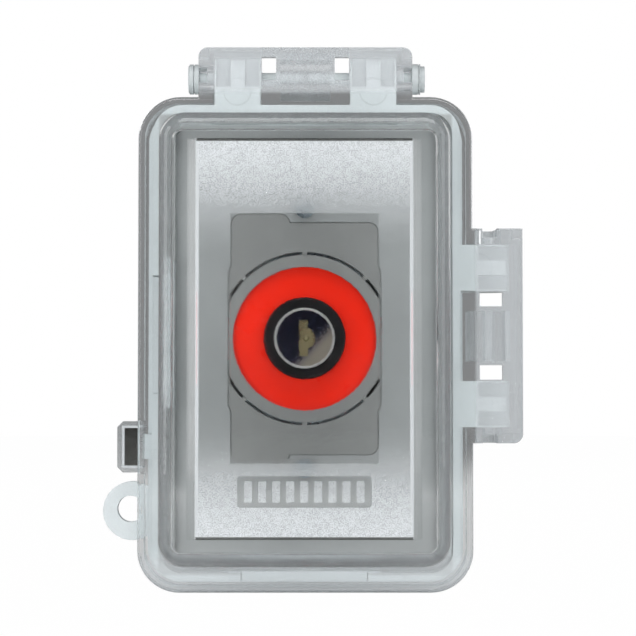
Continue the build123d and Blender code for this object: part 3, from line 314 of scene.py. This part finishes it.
def lid_zones(shader):
    """Pebbles on the panel and the hood's walls; painted light that makes the panel milky and brightest
    towards its ends and frosts the bottom edge; painted shade at the panel's ends and round the ejector
    marks; frosted hinge guards.
    """
    x, y, z = shader.axes()
    beside, above = shader.cover_place()
    on_panel = shader.short_of(y, PANEL_FRONT + 0.225 * MM, 0.25 * MM)
    off_window = shader.largest(
        shader.past(beside, WINDOW_HALF_WIDTH, 0.2 * MM),
        shader.past(above, WINDOW_HALF_HEIGHT, 0.3 * MM),
    )
    panel_pebbles = shader.product(on_panel, shader.ramp(above, 33 * MM, 42 * MM, 0.05, 0.7))
    # Painted light: the panel turns milky and bright towards its top and bottom ends, off the window.
    panel_painted_light = shader.product(on_panel, off_window, shader.ramp(above, 24 * MM, 58 * MM, 0.0, 0.95))
    # Painted shade: the panel's top and bottom ends are tinted dark.
    panel_ends = shader.product(on_panel, shader.past(above, PANEL_HALF_HEIGHT, 0.3 * MM))
    top_guard = shader.past(above, TOP_GUARD_START, 2 * MM)
    knuckle = shader.product(top_guard, shader.short_of(beside, MIDDLE_KNUCKLE_HALF_WIDTH, 1 * MM))
    guards = shader.largest(top_guard, shader.past(x, RIGHT_GUARD_START, 1.5 * MM))
    soft = shader.product(shader.largest(hood_wall(shader, beside, above, y), knuckle), 0.35)
    pebbled = shader.largest(panel_pebbles, soft)
    milk_and_painted_light = shader.largest(panel_painted_light, shader.product(soft, 0.5))
    frost_and_painted_light = shader.largest(
        shader.product(guards, 0.36),
        shader.product(panel_shoulder(shader, beside, y), 0.75),
        # Painted light: frosting that brightens the lid along its bottom edge.
        shader.product(shader.short_of(z, LOW_EDGE, 6 * MM), 0.3),
    )
    dark = shader.largest(panel_ends, ejector_marks(shader, beside, y, z))
    return pebbled, milk_and_painted_light, frost_and_painted_light, dark


def hood_wall(shader, beside, above, y):
    """The hood's four sloping walls, between its front edge and the flange."""
    outside = shader.largest(
        shader.past(beside, HOOD_HALF_WIDTH, 1 * MM),
        shader.past(above, HOOD_HALF_HEIGHT, 1 * MM),
    )
    off_front = shader.past(y, PANEL_FRONT + 2.7 * MM, 1 * MM)
    off_flange = shader.short_of(y, FLANGE_FRONT - 0.5 * MM, 2 * MM)
    return shader.product(outside, off_front, off_flange)


def panel_shoulder(shader, beside, y):
    """The narrow shoulder down each side of the raised panel."""
    return shader.product(
        shader.past(beside, SHOULDER_INNER, 0.4 * MM),
        shader.short_of(beside, SHOULDER_OUTER, 0.3 * MM),
        shader.short_of(y, PANEL_FRONT + 1.4 * MM, 0.1 * MM),
    )


def ejector_marks(shader, beside, y, z):
    """Painted shade: dark rings along the grooves round the two round ejector marks on the top hinge guard.
    """
    across = shader.math("POWER", shader.math("SUBTRACT", beside, EJECTOR_X), 2.0)
    up = shader.math("POWER", shader.math("SUBTRACT", z, EJECTOR_Z), 2.0)
    radius = shader.math("SQRT", shader.total(across, up))
    groove = shader.short_of(shader.away(radius, EJECTOR_GROOVE_RADIUS), 0.225 * MM, 0.15 * MM)
    in_front = shader.short_of(y, FLANGE_FRONT + 0.5 * MM, 0.2 * MM)
    return shader.product(groove, in_front, 0.22)


def latch_zones(shader):
    """A pale rim round the thumb recess, whose middle is tinted dark with painted shade."""
    x, _, z = shader.axes()
    from_side = shader.math("SUBTRACT", x, LATCH_LOW.x)
    from_middle = shader.away(z, (LATCH_LOW.z + LATCH_HIGH.z) / 2)
    from_ends = shader.math("SUBTRACT", (LATCH_HIGH.z - LATCH_LOW.z) / 2, from_middle)
    inset = shader.math("MINIMUM", from_side, from_ends)
    rim = shader.product(
        shader.past(inset, THUMB_RIM_START, 0.2 * MM),
        shader.short_of(inset, THUMB_RIM_END, 0.2 * MM),
        0.7,
    )
    outboard = shader.short_of(x, COVER_LEFT + 0.05 * MM, 0.3 * MM)
    # Painted shade: the recess's middle, on the outboard side, is tinted dark.
    dark = shader.product(outboard, shader.past(inset, THUMB_MIDDLE_START, 0.2 * MM))
    pebbled, milk_and_painted_light = 0.15, 0.12
    return pebbled, milk_and_painted_light, rim, dark


# ---- opaque materials ----------------------------------------------------------------------

# Painted shade, multiplied into the base's colour inside the rim and in the hinge blocks' pockets.
INSIDE_PAINTED_SHADE = (0.68, 0.66, 0.65, 1)
POCKET_SHADE = (0.7, 0.7, 0.7, 1)
FULL_SHADE = (1, 1, 1, 1)


def base_shades(shader):
    """Painted shade: darker inside the rim and in the hinge blocks' pockets."""
    x, y, z = shader.axes()
    beside, above = shader.cover_place()
    inside = shader.product(
        shader.short_of(beside, RIM_HALF_WIDTH, 1 * MM),
        shader.short_of(above, RIM_HALF_HEIGHT, 1 * MM),
    )
    blocks = shader.largest(
        shader.past(z, TOP_BLOCK_START, 1 * MM),
        shader.past(x, RIGHT_BLOCK_START, 1 * MM),
    )
    pockets = shader.product(blocks, shader.past(y, POCKET_FLOOR, 0.4 * MM))
    shades = shader.mix_colour(inside, FULL_SHADE, INSIDE_PAINTED_SHADE)
    return shader.mix_colour(pockets, shades, POCKET_SHADE)


def moulded_plastic(name, colour, roughness=0.4, grain=0.35 * MM, relief=0.02 * MM, shades=None):
    """Opaque moulded plastic: fine spark-eroded grain, slight flow marks, softened edges."""
    shader = Shader(name)
    flow = shader.noise(22 * MM, 4.0, 0.55)
    texture = shader.noise(grain, 2.0)
    shaded = shader.mix_colour(shader.vary(flow, 0.0, 0.5), colour, dim(colour, 0.82))
    tinted = shader.mix_colour(shader.ramp(texture, 0.35, 0.7, 0.0, 0.25), shaded, dim(colour, 1.15))
    # shades multiplies in painted shade, where the material has it.
    if shades:
        tinted = shader.mix_colour(1.0, tinted, shades(shader), "MULTIPLY")
    rough = shader.vary(flow, roughness - 0.06, roughness + 0.08)
    normal = shader.bump(texture, relief, 0.6, shader.soft_edges(0.25 * MM))
    body = shader.node("BsdfPrincipled", None, Base_Color=tinted, Roughness=rough, Normal=normal)
    body.inputs["Specular IOR Level"].default_value = 0.45
    return shader.finish(body.outputs[0])


def metal(name, colour, roughness, stretch, wear=0.0, worn=None):
    """Metal with a drawn or turned grain, cloudy roughness and brighter worn edges."""
    shader = Shader(name)
    grain = shader.grain(stretch, 3.0, 0.6)
    cloud = shader.noise(6 * MM, 3.0)
    shaded = shader.mix_colour(shader.vary(cloud, 0.0, 0.4), colour, dim(colour, 0.75))
    if wear:
        edge = shader.product(shader.edge_mask(0.3 * MM), wear)
        shaded = shader.mix_colour(edge, shaded, worn or dim(colour, 1.3))
    rough = shader.vary(cloud, roughness - 0.05, roughness + 0.1)
    normal = shader.bump(grain, 0.01 * MM, 0.5, shader.soft_edges(0.15 * MM))
    body = shader.node("BsdfPrincipled", None, Base_Color=shaded, Roughness=rough, Normal=normal)
    body.inputs["Metallic"].default_value = 1.0
    return shader.finish(body.outputs[0])


def polished_face(name):
    """The lock's polished face, with a painted reflection: dark blue on one side and pale on the other, and
    fine scratches and pits.
    """
    shader = Shader(name)
    scratches = shader.grain((900, 900, 220), 2.0, 0.5)
    pits = shader.noise(0.45 * MM, 2.0)
    x, _, z = shader.axes()
    slope = shader.math("SUBTRACT", x, shader.product(z, 0.9))
    lit = shader.past(slope, 5 * MM, 8 * MM)
    # Painted reflection: the colour runs from a dark blue reflection to a pale one across the face.
    colour = shader.mix_colour(lit, rgb(60, 70, 116), rgb(196, 188, 172))
    colour = shader.mix_colour(shader.ramp(pits, 0.55, 0.75, 0.0, 0.35), colour, rgb(190, 190, 196))
    height = shader.total(scratches, shader.product(pits, 0.6))
    normal = shader.bump(height, 0.004 * MM, 0.6)
    rough = shader.total(shader.ramp(pits, 0.4, 0.8, 0.10, 0.3), shader.product(lit, 0.3))
    body = shader.node("BsdfPrincipled", None, Base_Color=colour, Roughness=rough, Normal=normal)
    body.inputs["Metallic"].default_value = 1.0
    return shader.finish(body.outputs[0])


def powder_coat(name, colour):
    """Cast alloy under powder coat: orange peel, with bare metal at rubbed edges."""
    shader = Shader(name)
    peel = shader.noise(1.3 * MM, 2.0)
    cloud = shader.noise(30 * MM, 3.0)
    shaded = shader.mix_colour(shader.vary(cloud, 0.0, 0.4), colour, dim(colour, 0.85))
    rubbed = shader.product(shader.edge_mask(0.5 * MM), shader.ramp(peel, 0.5, 0.65), 0.6)
    shaded = shader.mix_colour(rubbed, shaded, rgb(190, 192, 194))
    normal = shader.bump(peel, 0.05 * MM, 0.5, shader.soft_edges(0.5 * MM))
    rough = shader.vary(peel, 0.38, 0.52)
    body = shader.node("BsdfPrincipled", None, Base_Color=shaded, Roughness=rough, Normal=normal)
    return shader.finish(body.outputs[0])


def soft_rubber(name, colour, cell=0.5 * MM):
    """Foam or rubber: matt, with fine cells."""
    shader = Shader(name)
    cells = shader.node("TexVoronoi", {"feature": "F1"}, Vector=shader.place(), Scale=1.0 / cell)
    depth = cells.outputs["Distance"]
    shaded = shader.mix_colour(shader.ramp(depth, 0.1, 0.7), dim(colour, 1.5), dim(colour, 0.6))
    normal = shader.bump(depth, 0.05 * MM, 0.5)
    body = shader.node("BsdfPrincipled", None, Base_Color=shaded, Roughness=0.8, Normal=normal)
    return shader.finish(body.outputs[0])


# ---- one material for each slot of the record ----------------------------------------------

# Painted light: its red is above one, so it gives back more red light than falls on it and glows.
GLOWING_RED = (1.4, 0.022, 0.0, 1)

MATERIALS = {
    "clear_lid": clear_plastic("clear_lid", 0.03, lid_zones),
    "clear_latch": clear_plastic("clear_latch", 0.05, latch_zones),
    "base_grey": moulded_plastic("base_grey", rgb(205, 211, 213), 0.42, shades=base_shades),
    "port_grey": moulded_plastic("port_grey", rgb(198, 204, 206), 0.42),
    "plate_grey": moulded_plastic("plate_grey", rgb(156, 157, 156), 0.5, 0.25 * MM),
    "pin_grey": moulded_plastic("pin_grey", rgb(178, 184, 186), 0.38),
    "red_plastic": moulded_plastic("red_plastic", GLOWING_RED, 0.32, 0.3 * MM, 0.008 * MM),
    "bezel_black": moulded_plastic("bezel_black", rgb(14, 13, 16), 0.34, 0.3 * MM, 0.012 * MM),
    "lock_chrome": metal("lock_chrome", rgb(250, 250, 246), 0.4, (300, 300, 300)),
    "lock_face": polished_face("lock_face"),
    "brass": metal("brass", rgb(206, 196, 150), 0.28, (200, 900, 200)),
    "zinc_steel": metal("zinc_steel", rgb(190, 205, 212), 0.3, (300, 300, 1500), 0.5),
    "spring_steel": metal("spring_steel", rgb(150, 150, 152), 0.25, (500, 500, 500)),
    "box_alloy": powder_coat("box_alloy", rgb(150, 153, 156)),
    "plug_alloy": powder_coat("plug_alloy", rgb(146, 149, 152)),
    "seal_foam": soft_rubber("seal_foam", rgb(40, 40, 42)),
    "lock_seal": soft_rubber("lock_seal", rgb(30, 30, 30), 0.3 * MM),
    "ground_green": metal("ground_green", rgb(60, 140, 70), 0.35, (400, 400, 400), 0.6, rgb(200, 205, 200)),
    "switch_black": moulded_plastic("switch_black", rgb(34, 34, 36), 0.55),
    "button_ivory": moulded_plastic("button_ivory", rgb(226, 218, 194), 0.4),
    "contact_copper": metal("contact_copper", rgb(214, 148, 110), 0.3, (300, 1500, 300)),
}


def dress_nodes():
    """Gives every CAD node the material of its slot."""
    slots = {entry["node"]: entry["material_slot"] for entry in frame["record"]["subparts"]}
    for name, piece in frame["nodes"].items():
        piece.data.materials.clear()
        piece.data.materials.append(MATERIALS[slots[name]])


def add_piece(name, points, faces, material):
    """A new mesh object in the scene."""
    mesh = bpy.data.meshes.new(name)
    mesh.from_pydata(points, [], faces)
    mesh.materials.append(material)
    piece = bpy.data.objects.new(name, mesh)
    bpy.context.scene.collection.objects.link(piece)
    return piece


# ---- springs -------------------------------------------------------------------------------

SPRING_WIRE = 0.2 * MM
SPRING_TURNS = 5
STEPS_PER_TURN = 24
WIRE_SIDES = 8


def coil_points(low, high):
    """Rings of points round the wire, from one end of the coil to the other."""
    middle = (low + high) / 2
    radius = (high.x - low.x) / 2 - SPRING_WIRE
    steps = SPRING_TURNS * STEPS_PER_TURN
    points = []
    for step in range(steps + 1):
        turned = 2 * math.pi * step / STEPS_PER_TURN
        outward = Vector((math.cos(turned), math.sin(turned), 0))
        height = low.z + SPRING_WIRE + (high.z - low.z - 2 * SPRING_WIRE) * step / steps
        centre = Vector((middle.x, middle.y, height)) + radius * outward
        for side in range(WIRE_SIDES):
            around = 2 * math.pi * side / WIRE_SIDES
            offset = math.cos(around) * outward + math.sin(around) * Vector((0, 0, 1))
            points.append(centre + SPRING_WIRE * offset)
    return points


def coil_faces(point_count):
    """Quads along the wire, and a cap on each of its ends."""
    faces = [
        list(range(WIRE_SIDES)),
        list(range(point_count - WIRE_SIDES, point_count))[::-1],
    ]
    for start in range(0, point_count - WIRE_SIDES, WIRE_SIDES):
        for side in range(WIRE_SIDES):
            here = start + side
            beside = start + (side + 1) % WIRE_SIDES
            faces.append([here, here + WIRE_SIDES, beside + WIRE_SIDES, beside])
    return faces


def plunger_spring(node):
    """A coil spring in place of the plunger spring's CAD node, carried with the station."""
    low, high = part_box(node)
    points = coil_points(low, high)
    piece = add_piece("coil_" + node, points, coil_faces(len(points)), MATERIALS["spring_steel"])
    piece.data.shade_smooth()
    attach(piece, "station")
    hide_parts(node)
    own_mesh(piece)


# ---- stage ---------------------------------------------------------------------------------

FLOOR_HALF_WIDTH = 4.0
# How much of the floor's own glow the camera sees, so that it looks evenly white.
FLOOR_GLOW_SEEN = 0.99
# The room's brightness from the camera's side (0) round to behind the object (1).
ROOM_SHADES = ((0.0, 0.02), (0.04, 0.03), (0.12, 0.2), (0.5, 0.2), (1.0, 0.25))


def floor():
    """A wide pale floor under the object."""
    height = cad_box[0][2]
    directions = ((-1, -1), (1, -1), (1, 1), (-1, 1))
    corners = [(FLOOR_HALF_WIDTH * across, FLOOR_HALF_WIDTH * back, height) for across, back in directions]
    shader = Shader("pale_floor")
    mottle = shader.noise(0.05, 3.0)
    colour = shader.mix_colour(mottle, (0.90, 0.90, 0.90, 1), (0.94, 0.94, 0.94, 1))
    body = shader.node("BsdfPrincipled", None, Base_Color=colour, Roughness=0.7)
    glow = shader.node("Emission", None, Color=(1, 1, 1, 1), Strength=1.0)
    seen = shader.product(shader.node("LightPath").outputs["Is Camera Ray"], FLOOR_GLOW_SEEN)
    material = shader.finish(shader.mix_shader(seen, body.outputs[0], glow.outputs[0]))
    add_piece("floor", corners, [(0, 1, 2, 3)], material)


def studio_world():
    """White behind the object; a pale room, dark only where the camera stands, to reflect."""
    world = bpy.data.worlds.new("studio")
    bpy.context.scene.world = world
    world.use_nodes = True
    tree = world.node_tree
    tree.nodes.clear()
    out = tree.nodes.new("ShaderNodeOutputWorld")
    seen = tree.nodes.new("ShaderNodeBackground")
    seen.inputs["Color"].default_value = (1, 1, 1, 1)
    room = tree.nodes.new("ShaderNodeBackground")
    coordinates = tree.nodes.new("ShaderNodeTexCoord")
    split = tree.nodes.new("ShaderNodeSeparateXYZ")
    tree.links.new(coordinates.outputs["Generated"], split.inputs[0])
    shade = tree.nodes.new("ShaderNodeValToRGB")
    stops = shade.color_ramp.elements
    stops.remove(stops[1])
    for position, _ in ROOM_SHADES[1:]:
        stops.new(position)
    for stop, (_, level) in zip(stops, ROOM_SHADES):
        stop.color = (level, level * 1.01, level * 1.02, 1)
    lift = tree.nodes.new("ShaderNodeMapRange")
    lift.inputs["From Min"].default_value = -1.0
    tree.links.new(split.outputs["Y"], lift.inputs["Value"])
    tree.links.new(lift.outputs["Result"], shade.inputs["Fac"])
    tree.links.new(shade.outputs["Color"], room.inputs["Color"])
    path = tree.nodes.new("ShaderNodeLightPath")
    mix = tree.nodes.new("ShaderNodeMixShader")
    tree.links.new(path.outputs["Is Camera Ray"], mix.inputs[0])
    tree.links.new(room.outputs[0], mix.inputs[1])
    tree.links.new(seen.outputs[0], mix.inputs[2])
    tree.links.new(mix.outputs[0], out.inputs["Surface"])


def softbox(name, place, width, height, power, mirrored=True):
    """A rectangular soft light aimed at the object's middle. mirrored shows it in reflections."""
    light = bpy.data.lights.new(name, "AREA")
    light.shape = "RECTANGLE"
    light.size = width
    light.size_y = height
    light.energy = power
    lamp = bpy.data.objects.new(name, light)
    lamp.location = place
    aim = Vector((0, FLOOR_FRONT, 0)) - Vector(place)
    lamp.rotation_euler = aim.to_track_quat("-Z", "Y").to_euler()
    lamp.visible_camera = False
    lamp.visible_glossy = mirrored
    lamp.visible_transmission = mirrored
    bpy.context.scene.collection.objects.link(lamp)


def lights():
    """A key from above, low fills in front that the flat face doesn't mirror, sides and back."""
    softbox("key_above", (0.15, -0.75, 1.05), width=1.2, height=0.6, power=5.6)
    softbox("fill_front", (-0.1, -1.0, 0.0), width=1.2, height=0.3, power=2.2, mirrored=False)
    softbox("fill_low", (0.0, -1.0, -0.045), width=1.2, height=0.06, power=7.5, mirrored=False)
    softbox("fill_left", (-1.1, -0.6, 0.35), width=0.6, height=1.0, power=3)
    softbox("fill_right", (1.1, -0.6, 0.35), width=0.6, height=1.0, power=1.6)
    softbox("back_left", (-0.9, 1.0, 0.8), width=0.8, height=0.8, power=5)
    softbox("back_right", (1.0, 1.0, 0.5), width=0.8, height=0.8, power=4)


# ---- camera --------------------------------------------------------------------------------

CAMERA_DISTANCE = 0.7
CAMERA_RISE = math.radians(-2.4)
CAMERA_AIM = Vector((4.3 * MM, FLOOR_FRONT, 6.6 * MM))
CAMERA_LENS = 123.2


def camera():
    """Square to the front and a little below the lock."""
    data = bpy.data.cameras.new("camera")
    data.sensor_width = 36.0
    data.lens = CAMERA_LENS
    data.clip_start = 0.01
    eye = bpy.data.objects.new("camera", data)
    backward = Vector((0, -math.cos(CAMERA_RISE), math.sin(CAMERA_RISE)))
    eye.location = CAMERA_AIM + CAMERA_DISTANCE * backward
    eye.rotation_euler = (-backward).to_track_quat("-Z", "Y").to_euler()
    bpy.context.scene.collection.objects.link(eye)
    bpy.context.scene.camera = eye


def light_paths():
    """Enough bounces for light to cross the lid's two walls twice, and plain display colours."""
    scene = bpy.context.scene
    scene.view_settings.view_transform = "Standard"
    scene.cycles.max_bounces = 14
    scene.cycles.transmission_bounces = 12
    scene.cycles.transparent_max_bounces = 16
    scene.cycles.glossy_bounces = 5
    scene.cycles.diffuse_bounces = 3
    scene.cycles.use_denoising = True
    scene.cycles.sample_clamp_indirect = 4.0
    scene.cycles.caustics_reflective = False
    scene.cycles.caustics_refractive = False


dress_nodes()
plunger_spring("plunger_spring_upper")
plunger_spring("plunger_spring_lower")
floor()
studio_world()
lights()
camera()
light_paths()
